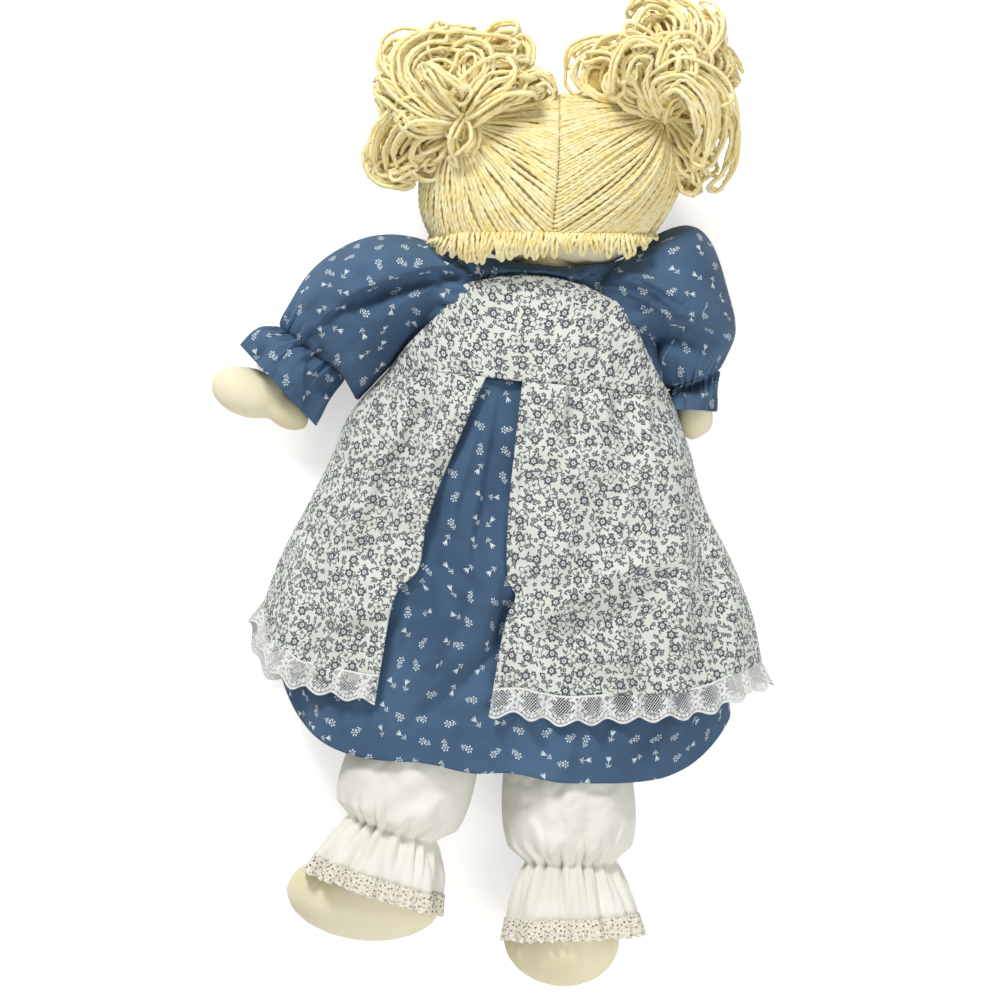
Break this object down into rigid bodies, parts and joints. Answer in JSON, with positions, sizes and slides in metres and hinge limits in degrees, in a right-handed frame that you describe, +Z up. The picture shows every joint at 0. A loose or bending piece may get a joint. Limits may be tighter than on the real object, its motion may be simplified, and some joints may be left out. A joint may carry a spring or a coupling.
{
  "type": "rag doll",
  "caption": "Soft stuffed cloth doll lying face down, with looped yarn pigtails, a long calico dress, a lace-edged pinafore and gathered bloomers; head, arms and legs are jointed.",
  "frame": {"origin": "middle of the chest, on the flat where the pinafore front lies on the floor", "axes": "+Z up from the chest to the back of the doll, +Y towards the crown, +X towards the doll's right arm"},
  "size_m": [0.3154, 0.543, 0.0959],
  "materials": {
    "muslin": "unbleached cotton muslin",
    "yarn": "cream-yellow plied wool yarn",
    "blue_calico": "slate-blue cotton calico with small white sprigs",
    "pinafore_print": "white cotton with a dense dark blue floral print",
    "net_lace": "white machine-made net lace",
    "white_cotton": "off-white plain cotton",
    "elastic": "narrow knitted elastic",
    "crochet_lace": "beige cotton crochet lace"
  },
  "bodies": {
    "torso": {"torso": "muslin", "dress_bodice": "blue_calico", "pinafore_bodice": "pinafore_print", "collar_ruffle": "blue_calico", "dress_skirt": "blue_calico", "pinafore_skirt": "pinafore_print", "pinafore_lace": "net_lace", "bloomers_waist_elastic": "elastic"},
    "head": {"head": "muslin", "hair_back_left": "yarn", "hair_back_right": "yarn", "hair_front": "yarn", "nape_fringe": "yarn", "left_hair_tie": "yarn", "right_hair_tie": "yarn"},
    "left_pigtail": {"left_pigtail": "yarn"},
    "right_pigtail": {"right_pigtail": "yarn"},
    "left_arm": {"left_arm": "muslin", "left_sleeve": "blue_calico", "left_cuff_elastic": "elastic"},
    "right_arm": {"right_arm": "muslin", "right_sleeve": "blue_calico", "right_cuff_elastic": "elastic"},
    "lower_body": {"bloomers_seat": "white_cotton"},
    "left_leg": {"left_leg": "muslin", "bloomers_left_leg": "white_cotton", "left_ankle_elastic": "elastic", "left_ankle_lace": "crochet_lace"},
    "right_leg": {"right_leg": "muslin", "bloomers_right_leg": "white_cotton", "right_ankle_elastic": "elastic", "right_ankle_lace": "crochet_lace"}
  },
  "joints": [
    {"name": "head_nod", "type": "hinge", "parent": "torso", "child": "head", "pos_m": [0, 0.034, 0.0405], "axis": [1, 0, 0], "range_deg": [-25, 15], "deforming": ["nape_fringe", "collar_ruffle"]},
    {"name": "left_pigtail_flop", "type": "hinge", "parent": "head", "child": "left_pigtail", "pos_m": [-0.04818, 0.10233, 0.07015], "axis": [0, 0, 1], "range_deg": [-20, 20], "deforming": ["left_pigtail"]},
    {"name": "right_pigtail_flop", "type": "hinge", "parent": "head", "child": "right_pigtail", "pos_m": [0.04811, 0.11732, 0.04895], "axis": [0, 0, 1], "range_deg": [-20, 20], "deforming": ["right_pigtail"]},
    {"name": "left_shoulder", "type": "hinge", "parent": "torso", "child": "left_arm", "pos_m": [-0.05506, 0.014, 0.035], "axis": [0, 0, 1], "range_deg": [-70, 24], "deforming": ["left_sleeve"]},
    {"name": "right_shoulder", "type": "hinge", "parent": "torso", "child": "right_arm", "pos_m": [0.05506, 0.014, 0.035], "axis": [0, 0, 1], "range_deg": [-5, 64], "deforming": ["right_sleeve"]},
    {"name": "sit_fold", "type": "hinge", "parent": "torso", "child": "lower_body", "pos_m": [0, -0.1275, 0.035], "axis": [1, 0, 0], "range_deg": [-40, 100], "deforming": ["dress_skirt", "pinafore_skirt", "pinafore_lace", "bloomers_seat"]},
    {"name": "left_leg_splay", "type": "hinge", "parent": "lower_body", "child": "left_leg", "pos_m": [-0.028, -0.1275, 0.035], "axis": [0, 0, 1], "range_deg": [-15, 3], "deforming": ["bloomers_left_leg"]},
    {"name": "right_leg_splay", "type": "hinge", "parent": "lower_body", "child": "right_leg", "pos_m": [0.028, -0.1275, 0.035], "axis": [0, 0, 1], "range_deg": [-3, 15], "deforming": ["bloomers_right_leg"]}
  ]
}
